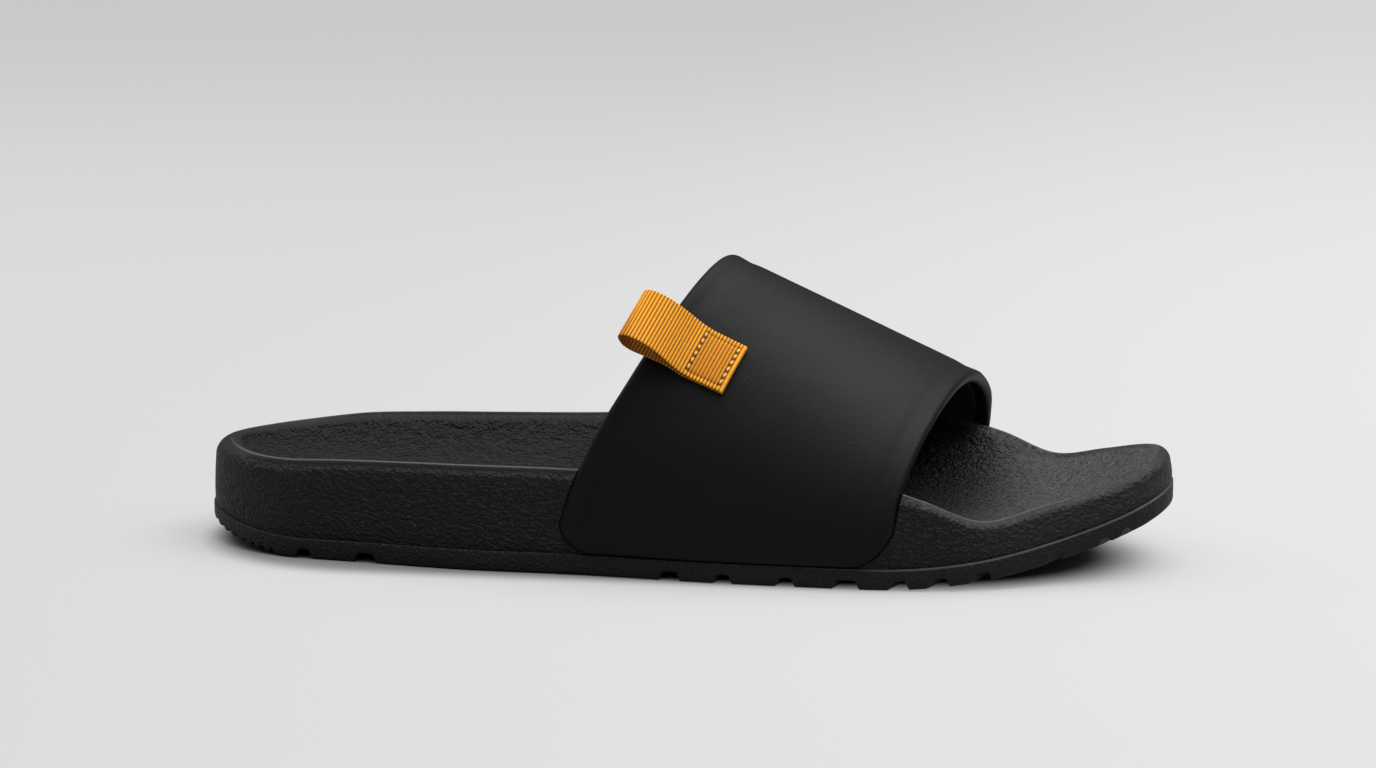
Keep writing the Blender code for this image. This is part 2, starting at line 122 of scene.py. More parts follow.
# share of LENGTH, width from HEEL_WIDTH (0) to BALL_WIDTH (1), centreline shift / half ball width
OUTLINE = [
    (0.00, -0.30, 0.020), (0.15, -0.02, 0.005), (0.30, 0.11, -0.085), (0.42, 0.14, -0.110),
    (0.55, 0.49, -0.095), (0.66, 0.80, -0.035), (0.74, 0.95, 0.000), (0.82, 1.01, 0.038),
    (0.90, 0.98, 0.073), (1.00, 0.95, -0.080),
]


def in_heel(share):
    """1 at the heel tip, down to 0 where the heel's round ends."""
    return np.clip(1 - share / HEEL_CAP, 0, 1)


def cap(share):
    """How full the outline is: a superellipse quarter at each tip, 1 along the middle."""
    toe = np.clip(1 - (1 - share) / TOE_CAP, 0, 1)
    return ((1 - in_heel(share)**HEEL_ROUNDNESS) ** (1 / HEEL_ROUNDNESS)
            * (1 - toe**TOE_ROUNDNESS) ** (1 / TOE_ROUNDNESS))


def half_width(share):
    """Half the sole's width: heel width plus a share of the spread to the ball, times the cap."""
    return (HEEL_WIDTH + (BALL_WIDTH - HEEL_WIDTH) * through(OUTLINE, 1, share)) / 2 * cap(share)


def centreline(share):
    """Sideways place of the middle of the sole."""
    return BALL_WIDTH / 2 * through(OUTLINE, 2, share)


# %% Rise of the toe and heel
TOE_SPRING, SPRING_START, SPRING_POWER = 18.6 * MM, 0.70, 2.15
HEEL_BEVEL, HEEL_RISE, OUTSOLE_SIDE = 6.5 * MM, 5.0 * MM, 6.0 * MM


def toe_spring(share):
    """Zero up to SPRING_START, then a power curve up to TOE_SPRING."""
    return TOE_SPRING * np.clip((share - SPRING_START) / (1 - SPRING_START), 0, 1) ** SPRING_POWER


def ground(share):
    """Underside of the rubber: the toe spring plus a parabola at the heel."""
    return toe_spring(share) + HEEL_BEVEL * in_heel(share) ** 2


def parting(share):
    """Line where the foam meets the rubber."""
    return toe_spring(share) + OUTSOLE_SIDE + HEEL_RISE * in_heel(share) ** 2


# The solids stand centred over the origin, so this moves heel-tip coordinates onto them.
fine = np.linspace(0, 1, 4001)
SHIFT = np.array([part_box("outsole")[0][0],
                  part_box("outsole")[0][1] - (centreline(fine) - half_width(fine)).min(), 0.0])

# %% [markdown]
# ## Surfaces on grids
#
# Every surface is a rectangle of points bent into shape. Such sheets are laid edge to edge and welded
# into one closed skin. That keeps the faces even, because on black material every ripple shows.

# %% Grids, welding and objects
def grid_faces(rows, columns, wrap=False):
    """Corner numbers of a grid's quads, its points stored row after row."""
    i = np.arange(rows - 1)[:, None]
    j = np.arange(columns if wrap else columns - 1)[None, :]
    a, b = i * columns + j, i * columns + (j + 1) % columns
    return np.stack([a, b, b + columns, a + columns], -1).reshape(-1, 4).tolist()


def end_cap(first, columns, middle):
    """Faces across one closed row: a point k steps past `middle` meets the one k steps before it."""
    k = np.arange(1, columns // 2 - 1)
    quads = np.stack([middle + k, middle + k + 1, middle - k - 1, middle - k], -1) % columns + first
    far = middle + columns // 2
    tips = np.array([[middle, middle + 1, middle - 1], [far, far + 1, far - 1]]) % columns + first
    return quads.tolist() + tips.tolist()


def tube_faces(rows, columns, middle):
    """Faces of a grid wrapped into a tube and capped at both ends."""
    return (grid_faces(rows, columns, wrap=True) + end_cap(0, columns, middle)
            + end_cap((rows - 1) * columns, columns, middle))


def plain(sheet, wrap=False):
    """A sheet with the faces of its grid."""
    return sheet, grid_faces(*sheet.shape[:2], wrap=wrap)


def make_piece(name, sheets, look, node, uvs=None, weld=2e-6, crease=40):
    """One object from sheets of (points, faces), welded where they meet, facing outward."""
    points = np.concatenate([np.reshape(p, (-1, 3)) for p, _ in sheets]) + SHIFT
    starts = np.cumsum([0] + [np.size(p) // 3 for p, _ in sheets])
    faces = [[v + start for v in face] for start, (_, fs) in zip(starts, sheets) for face in fs]
    mesh = bpy.data.meshes.new(name)
    mesh.from_pydata(points.tolist(), [], faces)
    corner = np.empty(len(mesh.loops), dtype=np.int32)
    mesh.loops.foreach_get("vertex_index", corner)
    for title, sheet_uvs in (uvs or {}).items():
        flat = np.concatenate([np.reshape(u, (-1, 2)) for u in sheet_uvs])
        mesh.uv_layers.new(name=title).data.foreach_set("uv", flat[corner].ravel())
    work = bmesh.new()
    work.from_mesh(mesh)
    bmesh.ops.remove_doubles(work, verts=work.verts, dist=weld)
    bmesh.ops.dissolve_degenerate(work, edges=work.edges, dist=1e-7)
    bmesh.ops.recalc_face_normals(work, faces=work.faces)
    print(name, len(work.faces), "faces,", sum(not e.is_manifold for e in work.edges), "open edges")
    work.to_mesh(mesh)
    work.free()
    mesh.shade_smooth()
    mesh.set_sharp_from_angle(angle=np.radians(crease))
    made = put(name, mesh)
    mesh.materials.append(look)
    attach(made, "root")
    if node:
        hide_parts(node)
    return made


# %% [markdown]
# ## Rings round the sole
#
# A sole is a stack of rings: the same outline again and again, a little further in or out and at its
# own height. Straight rows across the last ring close it. The stations lie closer together at the two
# tips, where the outline turns fastest.

# %% Rings and cross rows
def tip_stations(count):
    """Shares of the length with cosine spacing, close together at the heel and toe tips."""
    return 0.5 * (1 - np.cos(np.pi * np.arange(count + 1) / count))


def round_trip(shares):
    """Share and side (-1 lateral, 1 medial, 0 at a tip) of each point of a ring."""
    middle = np.ones(len(shares) - 2)
    return np.concatenate([shares, shares[-2:0:-1]]), np.concatenate([[0], -middle, [0], middle])


def ring(shares, inset, height):
    """The outline moved inward by `inset` along its own normal, at `height`."""
    share, side = round_trip(shares)
    loop = np.stack([LENGTH * share, centreline(share) + side * half_width(share)], 1)
    along = units(np.roll(loop, -1, 0) - np.roll(loop, 1, 0))
    inward = np.stack([-along[:, 1], along[:, 0]], 1)
    moved = loop + inward * np.broadcast_to(inset, len(loop))[:, None]
    return np.column_stack([moved, np.broadcast_to(height, len(loop))])


def cross_sheet(shares, loop, places, height, bow=0.0):
    """Rows between the two sides of a ring: point = side a (1 - t)/2 + side b (1 + t)/2,
    moved along X by bow (1 - t^2) and set at height(share, t)."""
    count = len(shares)
    a, b = loop[:count, None, :2], loop[-np.arange(count), None, :2]
    t = places[None, :, None]
    flat = a * (1 - t) / 2 + b * (1 + t) / 2
    flat[..., 0] += np.broadcast_to(bow, count)[:, None] * (1 - places**2)
    share, place = np.meshgrid(shares, places, indexing="ij")
    return np.concatenate([flat, height(share, place)[..., None]], 2)


# %% [markdown]
# ## How a finish is written
#
# A finish is a small sum: grain plus wrinkles, times a mask, into the bump. Written as nodes it is a
# tangle, so one class wraps a socket and lets plain arithmetic make the Math nodes. Heights are in
# metres up to the Bump node, so a wrinkle 0.2 mm deep is written as 0.2 mm.

# %% Sockets that can be added and multiplied
def operator(operation, flipped=False):
    """A method that adds one Math node, its two inputs swapped if `flipped`."""
    def act(wire, other=0.0):
        return wire.maths(operation, *((other, wire) if flipped else (wire, other)))
    return act


class Wire:
    """A node's output that takes part in arithmetic. Every operation adds one Math node."""

    def __init__(self, look, socket):
        self.look, self.socket = look, socket

    def maths(self, operation, first, second):
        return self.look.node("ShaderNodeMath", {0: first, 1: second}, operation=operation)

    __add__ = __radd__ = operator("ADD")
    __mul__ = __rmul__ = operator("MULTIPLY")
    __sub__, __rsub__ = operator("SUBTRACT"), operator("SUBTRACT", flipped=True)
    __truediv__, __pow__ = operator("DIVIDE"), operator("POWER")
    __abs__, sine = operator("ABSOLUTE"), operator("SINE")
    least, most = operator("MINIMUM"), operator("MAXIMUM")

    def wave(self, pitch):
        """A sine that repeats every `pitch` of the value."""
        return (self * (2 * np.pi / pitch)).sine()

    def step(self, low, high):
        """0 below low, 1 above high, smooth between."""
        return self.look.node("ShaderNodeMapRange", {"Value": self, "From Min": low, "From Max": high},
                              interpolation_type="SMOOTHSTEP")

    def near(self, place, full, gone):
        """1 within `full` of a place, 0 farther than `gone` from it."""
        return 1 - abs(self - place).step(full, gone)

    def between(self, low, low_full, high_full, high):
        """1 from low_full to high_full, fading to 0 at low and at high."""
        return self.step(low, low_full) * (1 - self.step(high_full, high))


class Look:
    """The nodes of a material or of the room. node() makes any node: its type, sockets and settings."""

    def __init__(self, owner, shader="Principled BSDF", **fixed):
        self.material = bpy.data.materials.new(owner) if isinstance(owner, str) else owner
        self.material.use_nodes = True
        self.tree = self.material.node_tree
        self.shader = self.tree.nodes[shader]
        for socket, value in fixed.items():
            self.shader.inputs[socket.replace("_", " ")].default_value = value

    def node(self, kind, sockets, output=0, **settings):
        made = self.tree.nodes.new(kind)
        for key, value in settings.items():
            setattr(made, key, value)
        for key, value in sockets.items():
            self.feed(made.inputs[key], value)
        return Wire(self, made.outputs[output])

    def feed(self, socket, value):
        """Links a wire to the socket, or sets a plain value on it."""
        if isinstance(value, Wire):
            self.tree.links.new(value.socket, socket)
        else:
            socket.default_value = value

    def place(self):
        """Object coordinates, in metres from the middle of the sandal's footprint."""
        return self.node("ShaderNodeTexCoord", {}, "Object")

    def stored(self, title):
        """The pair of coordinates stored on the piece under `title`."""
        return self.node("ShaderNodeUVMap", {}, uv_map=title)

    def axes(self, vector):
        """Three wires: X, Y and Z of a vector."""
        return [self.node("ShaderNodeSeparateXYZ", {0: vector}, name) for name in "XYZ"]

    def noise(self, where, size, detail=2.0, roughness=0.5, distortion=0.0):
        """Noise whose lumps are about `size` metres across."""
        return self.node("ShaderNodeTexNoise", {"Vector": where, "Scale": 1 / size, "Detail": detail,
                                                "Roughness": roughness, "Distortion": distortion}, "Fac")

    def cells(self, where, size, smoothness):
        """Distance to the nearest of a scatter of points about `size` metres apart, creases rounded."""
        return self.node("ShaderNodeTexVoronoi", {"Vector": where, "Scale": 1 / size,
                                                  "Smoothness": smoothness}, "Distance", feature="SMOOTH_F1")

    def blend(self, share, first, second):
        """Colour from first (share 0) to second (share 1)."""
        return self.node("ShaderNodeMix", {0: share, 6: first, 7: second}, 2, data_type="RGBA")

    def finish(self, colour, roughness, height=None):
        """Feeds colour and roughness to the shader, and a height in metres through a bump."""
        self.feed(self.shader.inputs["Base Color"], colour)
        self.feed(self.shader.inputs["Roughness"], roughness)
        if height is not None:
            bump = self.node("ShaderNodeBump", {"Height": height, "Distance": 1, "Strength": 1}, "Normal")
            self.feed(self.shader.inputs["Normal"], bump)
        return self.material


def grey(value):
    return (value, value, value * 1.01, 1)


# %% [markdown]
# ## Rubber outsole
#
# The thin black layer underneath. Its side is moulded with a fine pebble, its top edge stands out as a
# narrow polished lip, painted lighter along the forefoot as a highlight, and cross grooves cut right
# through its lower edge, so they show as notches. The grooves are part of the surface itself: extra
# stations crowd at each groove wall, and the underside simply rises there.

# %% Tread of the outsole
# GROOVE_FLARE is added to each width, because a groove's walls lean apart
GROOVE_DEPTH, GROOVE_WALL, GROOVE_FLARE = 2.5 * MM, 1.5 * MM, 0.80 * MM
# share of LENGTH, width / GROOVE_DEPTH, depth / GROOVE_DEPTH, forward bow / GROOVE_DEPTH
GROOVES = [
    (0.126, 1.36, 1.0, -2.0), (0.193, 1.96, 1.0, -2.0), (0.509, 1.72, 1.0, 2.0),
    (0.563, 1.36, 1.0, 2.4), (0.625, 1.48, 1.0, 2.8), (0.685, 2.24, 1.0, 3.2),
    (0.737, 1.56, 1.0, 3.6), (0.776, 1.64, 1.0, 4.0), (0.817, 1.64, 1.0, 4.0),
    (0.886, 1.10, 0.8, 4.0), (0.935, 0.80, 0.6, 3.2), (0.956, 0.76, 0.6, 2.8),
]
HEEL_RIBS = [0.014, 0.024, 0.034, 0.045, 0.056, 0.067, 0.078, 0.089]
HEEL_RIB_DEPTH, HEEL_RIB_WIDTH = 1.35 * MM, 1.1 * MM

grooves = np.array([(at * LENGTH, width * GROOVE_DEPTH + GROOVE_FLARE, depth * GROOVE_DEPTH)
                    for at, width, depth, _ in GROOVES]
                   + [(at * LENGTH, HEEL_RIB_WIDTH, HEEL_RIB_DEPTH) for at in HEEL_RIBS])


def tread_depth(share):
    """Deepest of the grooves over a share: each is its depth times an S-curve over its two walls."""
    run = np.abs(np.asarray(share)[..., None] * LENGTH - grooves[:, 0])
    return (grooves[:, 2] * smooth((grooves[:, 1] / 2 - run) / GROOVE_WALL + 0.5)).max(-1)


def bow(share):
    """How far a cross row bends forward at its middle, so that it runs along the grooves."""
    ends = [(0.0, 0.0)] + [(g[0], g[3]) for g in GROOVES] + [(1.0, 0.0)]
    return through(ends, 1, share) * GROOVE_DEPTH * smooth(share / 0.06) * smooth((1 - share) / 0.03)


near_walls = (grooves[:, 0, None, None] + np.array([-0.5, 0.5])[:, None] * grooves[:, 1, None, None]
              + np.linspace(-0.6, 0.6, 7) * GROOVE_WALL * 1.2).ravel() / LENGTH
tread_shares = np.unique(np.concatenate([tip_stations(200), near_walls]).round(6))
tread_shares = tread_shares[np.append(True, np.diff(tread_shares) > 2e-5)]

# %% Outsole surface
OUTSOLE_EDGE = 1.0 * MM
FAR = -50.0    # mm, stored where no mask of a finish should reach
# inset / OUTSOLE_EDGE, part of the side's height, lift / OUTSOLE_EDGE, stored mm above the parting line
SIDE_PROFILE = [
    (1, 0, 0, FAR), (0.45, 0, 0.14, FAR), (0.12, 0, 0.48, FAR), (0, 0, 1, FAR), (0, 0.45, 0, -2.6),
    (0, 1, -0.50, -0.5), (0.04, 1, -0.30, -0.3), (0.14, 1, -0.13, -0.1), (0.28, 1, -0.03, 0.1),
    (0.50, 1, 0, 0.3), (1.5, 1, 0, 3.0),
]


def outsole_ring(inset, part, lift=0.0):
    """A ring between the grooved underside (part 0) and the parting line (part 1)."""
    share, _ = round_trip(tread_shares)
    low, high = ground(share) + tread_depth(share), parting(share)
    return ring(tread_shares, inset, low + (high - low) * part + lift)


side_rings = [outsole_ring(inset * OUTSOLE_EDGE, part, lift * OUTSOLE_EDGE)
              for inset, part, lift, _ in SIDE_PROFILE]
rubber_uv = [np.stack([points[:, 0], np.full(len(points), row[3] * MM)], -1)
             for points, row in zip(side_rings, SIDE_PROFILE)]
under = cross_sheet(tread_shares, side_rings[0], np.linspace(-1, 1, 41),
                    lambda s, t: ground(s) + tread_depth(s), bow(tread_shares))
over = cross_sheet(tread_shares, side_rings[-1], np.array([-1.0, 0.0, 1.0]), lambda s, t: parting(s))


def far_uv(sheet):
    """Stored coordinates of a sheet that no mask reaches: the place along the sole, and FAR."""
    return np.stack([sheet[..., 0], np.full(sheet.shape[:2], FAR * MM)], -1)


# %% [markdown]
# The rubber's finish is a fine pebble a little under a millimetre across. Underneath, wavy sipes run
# between the grooves; they are too shallow to model, so the bump carries them.

# %% Rubber finish
PEBBLE, SIPE_PITCH, SIPE_WAVE, SIPE_SWING = 0.85 * MM, 3.4 * MM, 16 * MM, 1.1 * MM
rubber = Look("rubber", Specular_IOR_Level=0.21)
where = rubber.place()
x_axis, y_axis, _ = rubber.axes(where)
pebble = rubber.cells(where, PEBBLE, 0.4)
drift = rubber.noise(where, 9 * MM, 3)
normal_z = rubber.axes(rubber.node("ShaderNodeNewGeometry", {}, "True Normal"))[2]
sipe = ((x_axis + y_axis.wave(SIPE_WAVE) * SIPE_SWING).wave(SIPE_PITCH).step(0.45, 0.85)
        * (normal_z * -1).step(0.6, 0.9))
from_lip = rubber.axes(rubber.stored("surface"))[1]
# The lip is smoother, and its lighter colour is a painted highlight, strongest toward the toe.
lip_polish_and_highlight = from_lip.step(-0.6 * MM, -0.3 * MM) * (x_axis.step(-0.02, 0.09) * 0.90 + 0.10)
outsole_finish = rubber.finish(
    colour=rubber.blend(lip_polish_and_highlight, rubber.blend(drift, grey(0.0036), grey(0.0058)), grey(0.036)),
    roughness=0.52 + pebble * 0.20 - lip_polish_and_highlight * 0.14,
    height=pebble * (1 - lip_polish_and_highlight * 0.85) * (0.44 * MM) + rubber.noise(where, 0.25 * MM, 2) * (0.03 * MM)
    - sipe * (0.35 * MM))

make_piece("outsole_rubber", [plain(np.stack(side_rings), wrap=True), plain(under), plain(over)],
           outsole_finish, "outsole",
           uvs={"surface": [np.stack(rubber_uv), far_uv(under), far_uv(over)]})

# %% [markdown]
# ## Moulded midsole
#
# One block of black foam. Its rim is highest at the waist and rounds over into a narrow crest, and the
# footbed cups down behind it. The strap's two feet sit in shallow recesses, which are cut out with the
# strap's own form grown by the thickness of the glue line, so the gap round the strap is even.

# %% Rim and footbed
GLUE_LINE, LIP, EDGE_BREAK, RIM_SHOULDER = 0.3 * MM, 0.5 * MM, 0.4 * MM, 0.9 * MM
RIM_HEIGHT, RIM_RADIUS, RIM_STEP = 28.6 * MM, 3.0 * MM, 1.1 * MM
FLOOR_HEIGHT, CUP_POWER, ARCH_RISE = 20.5 * MM, 3.0, 2.5 * MM
# share of LENGTH, lateral rim / RIM_HEIGHT, medial rim / RIM_HEIGHT, rim radius / RIM_RADIUS
RIM = [
    (0.00, 0.640, 0.640, 1.60), (0.05, 0.724, 0.740, 1.30), (0.12, 0.790, 0.850, 1.00),
    (0.20, 0.822, 0.893, 0.90), (0.35, 0.843, 0.941, 0.90), (0.50, 0.829, 0.986, 0.90),
    (0.62, 0.853, 1.000, 0.90), (0.70, 0.846, 0.958, 0.90), (0.76, 0.640, 0.874, 0.90),
    (0.82, 0.357, 0.662, 0.90), (0.88, 0.353, 0.342, 0.90), (0.94, 0.318, 0.300, 1.00),
    (1.00, 0.300, 0.300, 1.20),
]
# share of LENGTH, footbed centre / FLOOR_HEIGHT, step at the rim / RIM_STEP
FLOOR = [
    (0.00, 1.00, 0.30), (0.12, 0.98, 0.80), (0.20, 0.95, 0.90), (0.35, 1.00, 0.90),
    (0.50, 0.93, 0.90), (0.62, 0.77, 0.90), (0.70, 0.73, 0.90), (0.76, 0.73, 0.90),
    (0.82, 0.80, 1.00), (0.88, 0.95, 1.00), (0.94, 1.16, 0.80), (1.00, 1.42, 0.20),
]


def rim(share, place):
    """Rim crest: parting line plus a blend of the lateral and medial rim heights."""
    lateral, medial = through(RIM, 1, share), through(RIM, 2, share)
    return parting(share) + RIM_HEIGHT * ((1 - place) * lateral + (1 + place) * medial) / 2


def footbed(share, place):
    """Cup under the foot: floor + (edge - floor) * radial^CUP_POWER, plus a soft arch bump."""
    radial = np.sqrt(np.clip(1 - cap(share) ** 2 * (1 - place**2), 0, 1))
    floor = FLOOR_HEIGHT * through(FLOOR, 1, share)
    edge = rim(share, place) - RIM_STEP * through(FLOOR, 2, share)
    arch = ARCH_RISE * np.exp(-((share - 0.42) / 0.11) ** 2 - ((place - 0.62) / 0.28) ** 2)
    return floor + (edge - floor) * radial**CUP_POWER + arch * (1 - radial**4)


# %% Midsole surface
CREST_BAND = 1.3 * MM    # flat top of the rim's bead at the toe
SEAM, FOOT_ROUND = 0.02 * MM, 0.2 * MM    # gap over the rubber, rounding of the lower edge
WALL_PARTS, SHOULDER_PARTS = (0.15, 0.35, 0.55, 0.72, 0.88), (0.25, 0.5, 0.75, 1.0)
# inset and drop of the crest's outer side / rim radius: it leans in and turns over late
CREST_PROFILE = [(0, 1), (0.07, 0.86), (0.15, 0.70), (0.23, 0.52), (0.31, 0.35), (0.38, 0.20),
                 (0.46, 0.08), (0.56, 0.015), (0.68, 0)]
shares = tip_stations(260)
share, side = round_trip(shares)
crest = rim(share, side)
radius = RIM_RADIUS * through(RIM, 3, share)
step = RIM_STEP * through(FLOOR, 2, share)
foot = parting(share) + SEAM
inset = LIP + EDGE_BREAK

rings = [ring(shares, LIP + FOOT_ROUND * (1 - np.sin(a)), foot + FOOT_ROUND * (1 - np.cos(a)))
         for a in np.radians([0, 45, 90])]
for part in WALL_PARTS:    # the wall swells a little below its middle and leans in above it
    lean = EDGE_BREAK * 0.25 * np.interp(part, [0.35, 0.72, 1.0], [-1, 1, 4])
    rings.append(ring(shares, LIP + lean, foot + (crest - radius - foot) * part))
# At the toe and the heel tip, where `soft` is 1, the crest is a plain quarter round.
soft = np.maximum(smooth((share - 0.70) / 0.10), smooth((0.07 - share) / 0.06))
for (lean, drop), a in zip(CREST_PROFILE, np.radians(np.arange(0, 91, 11.25))):
    rings.append(ring(shares, inset + radius * (lean + soft * (1 - np.cos(a) - lean)),
                      crest - radius * (drop + soft * (1 - np.sin(a) - drop))))
crest_ring = len(rings) - 1
band = inset + radius + soft * CREST_BAND
rings += [ring(shares, band - 0.1 * MM, crest), ring(shares, band, crest - 0.03 * MM)]
for part in SHOULDER_PARTS:
    rings.append(ring(shares, band + RIM_SHOULDER * part, crest - step * smooth(part)))
places = -np.cos(np.pi * np.arange(61) / 60)
bed = cross_sheet(shares, rings[-1], places, footbed)
base = cross_sheet(shares, rings[0], np.array([-1.0, 0.0, 1.0]), lambda s, t: parting(s) + SEAM)

# Each point knows how far along the sole it sits and how far it is from the crest, down the side
# (below zero) or in over the footbed (above zero).
rings = np.stack(rings)
profile = np.cumsum(lengths(np.diff(rings, axis=0, prepend=rings[:1])), axis=0)
from_crest = profile - profile[crest_ring]
ring_uv = np.stack([rings[..., 0], from_crest], -1)
bed_uv = np.stack([bed[..., 0], from_crest[-1].min() + np.minimum(
    lengths(bed - bed[:, :1]), lengths(bed - bed[:, -1:]))], -1)

# %% [markdown]
# ## The strap's form
#
# One wide band of foam wrapped in matt leather: a leaning arch between two short straight feet, which
# drops from the instep to the toes. A point on it is found from two numbers: a share of the sole's
# length, and a place over the arch from the lateral foot (-1) over the crown (0) to the medial one (1).

# %% Strap skin and edges
STRAP_WALL, STRAP_PROUD, STRAP_FOOT = 3.8 * MM, 1.0 * MM, 10.0 * MM
REAR_HEIGHT, FRONT_HEIGHT, REAR_AT, FRONT_AT = 84.35 * MM, 53.8 * MM, 0.56, 0.78
CROWN_SHIFT, SIDE_FULLNESS, CROWN_FULLNESS = 8.0 * MM, 1.9, 2.0
REAR_CORNER, FRONT_CORNER = 8.5 * MM, 9.8 * MM
HEM_WIDTH, HEM_SPREAD, REAR_HEM_DEPTH, FRONT_HEM_DEPTH = 5.4 * MM, 2.4 * MM, 0.6 * MM, 0.5 * MM
FEET_FROM = 0.75    # the strap is straight from this place out to its feet's ends at 1
# place over the arch, rear edge / LENGTH, front edge / LENGTH
STRAP_EDGES = [
    (-1.00, 0.4000, 0.7210), (-0.85, 0.3970, 0.7260), (-0.75, 0.3990, 0.7315), (-0.65, 0.4220, 0.7375),
    (-0.50, 0.4655, 0.7520), (-0.35, 0.5015, 0.7680), (-0.20, 0.5265, 0.7820), (0.00, 0.5445, 0.7965),
    (0.20, 0.5490, 0.8050), (0.35, 0.5220, 0.8095), (0.50, 0.4820, 0.8075), (0.65, 0.4460, 0.8025),
    (0.75, 0.4270, 0.7955), (0.85, 0.4140, 0.7865), (1.00, 0.4080, 0.7740),
]


def strap_skin(share, place):
    """Outer face: y = middle + side * half width * cos(turn)^(2/fullness) + lean * sin(turn), and
    z = spring + rise * sin(turn), with straight feet past |place| = FEET_FROM."""
    foot = parting(share) + GLUE_LINE
    spring = foot + STRAP_FOOT
    run = (share - REAR_AT) / (FRONT_AT - REAR_AT)
    height = REAR_HEIGHT + (FRONT_HEIGHT - REAR_HEIGHT) * run
    reach = np.abs(place)
    turn = np.clip((FEET_FROM - reach) / FEET_FROM, 1e-6, 1) * np.pi / 2
    out = np.maximum(np.cos(turn), 1e-6) ** (2 / SIDE_FULLNESS)
    up = np.sin(turn) ** (2 / CROWN_FULLNESS)
    y = (centreline(share) + np.sign(place) * (half_width(share) + STRAP_PROUD) * out
         + CROWN_SHIFT * np.sin(turn))
    z = np.where(reach > FEET_FROM, spring - STRAP_FOOT * (reach - FEET_FROM) / (1 - FEET_FROM),
                 spring + (height - spring) * up)
    return np.stack([share * LENGTH, y, z], -1)


def strap_normal(share, place):
    """Outward direction, from small steps along both parameters."""
    step = 1e-3
    return units(np.cross(strap_skin(share + step, place) - strap_skin(share - step, place),
                          strap_skin(share, place + step) - strap_skin(share, place - step)))


def over_end(place):
    """Height of a place over the end of its foot, held at STRAP_FOOT over the arch."""
    return np.clip((1 - np.abs(place)) / (1 - FEET_FROM), 0, 1) * STRAP_FOOT


def strap_edges(place, grow):
    """Rear and front shares of the strap, with its four lower corners rounded."""
    low = over_end(place)

    def corner(radius):
        return radius - np.sqrt((radius + grow) ** 2 - np.clip(radius - low, 0, radius) ** 2)

    return (through(STRAP_EDGES, 1, place) + corner(REAR_CORNER) / LENGTH,
            through(STRAP_EDGES, 2, place) - corner(FRONT_CORNER) / LENGTH)


# %% A sheet over the strap
def strap_sheet(places, columns, grow=0.0, rounding=0.0):
    """Rows over the arch of columns (share of the width, distance added to it, depth). The two hem
    seams sink the outer face, less at the crown, and `rounding` turns each foot's lower edge in."""
    place = places[:, None]
    part, shift, depth = (np.array(column)[None, :] for column in zip(*columns))
    rear, front = strap_edges(place, grow)
    width = lengths(strap_skin(front, place) - strap_skin(rear, place))
    run = part * width + shift
    share = rear + (front - rear) * run / width
    valley = ((REAR_HEM_DEPTH * np.exp(-((run - HEM_WIDTH) / HEM_SPREAD) ** 2)
               + FRONT_HEM_DEPTH * np.exp(-((width - run - HEM_WIDTH) / HEM_SPREAD) ** 2))
              * (0.45 + 0.75 * smooth(np.abs(place) / 0.45)))
    outside = np.clip(1 - depth / STRAP_WALL, 0, 1)
    lift = np.clip(rounding - over_end(place), 0, rounding)
    tuck = (rounding - np.sqrt(rounding**2 - lift**2)) * (2 * outside - 1)
    sunk = depth + valley * outside * smooth((1.04 - np.abs(place)) / 0.25) + tuck
    place = place + 0 * share
    return strap_skin(share, place) - strap_normal(share, place) * sunk[..., None]


def width_parts(cells):
    """Shares of the strap's width, closer together near its two free edges."""
    even = np.linspace(0, 1, cells + 1)
    return even - 0.09 * np.sin(2 * np.pi * even)


def strap_places(foot_cells, arch_cells, reach=1.0):
    """Places over the arch, closer together at the ends of the two feet."""
    foot = reach - (reach - FEET_FROM) * np.linspace(0, 1, foot_cells + 1) ** 2
    arch = np.linspace(-FEET_FROM, FEET_FROM, arch_cells + 1)[1:-1]
    return np.concatenate([-foot, arch, foot[::-1]])


# %% Cut the recesses and make the midsole
foam = Look("foam", Specular_IOR_Level=0.18)
midsole = make_piece(
    "midsole_foam", [plain(rings, wrap=True), plain(bed), plain(base)],
    foam.material, "midsole", uvs={"surface": [ring_uv, bed_uv, far_uv(base)]})

PAST_END = 1.12    # the cutter runs on past the feet's ends
parts = width_parts(14)
frame_columns = ([(t, 0, -2 * STRAP_WALL) for t in parts]
                 + [(t, 0, STRAP_WALL + GLUE_LINE) for t in parts[::-1]])
recess_places = np.concatenate([[-PAST_END], strap_places(16, 60), [PAST_END]])
recess = strap_sheet(recess_places, frame_columns, GLUE_LINE)
count = recess.shape[1]
cutter_mesh = bpy.data.meshes.new("recess")
ends = [list(range(count))[::-1], list(range(len(recess) * count - count, len(recess) * count))]
cutter_mesh.from_pydata((recess.reshape(-1, 3) + SHIFT).tolist(), [],
                        grid_faces(len(recess), count, wrap=True) + ends)
cutter = put("recess", cutter_mesh)
flip = bmesh.new()
flip.from_mesh(cutter_mesh)
bmesh.ops.recalc_face_normals(flip, faces=flip.faces)
flip.to_mesh(cutter_mesh)
flip.free()
change = midsole.modifiers.new("recess", "BOOLEAN")
change.operation, change.solver, change.object = "DIFFERENCE", "EXACT", cutter
bpy.context.view_layer.update()
carved = bpy.data.meshes.new_from_object(midsole.evaluated_get(bpy.context.evaluated_depsgraph_get()))
midsole.modifiers.clear()
midsole.data = carved
carved.name = "midsole_foam"
carved.shade_smooth()
carved.set_sharp_from_angle(angle=np.radians(40))
bpy.data.objects.remove(cutter, do_unlink=True)
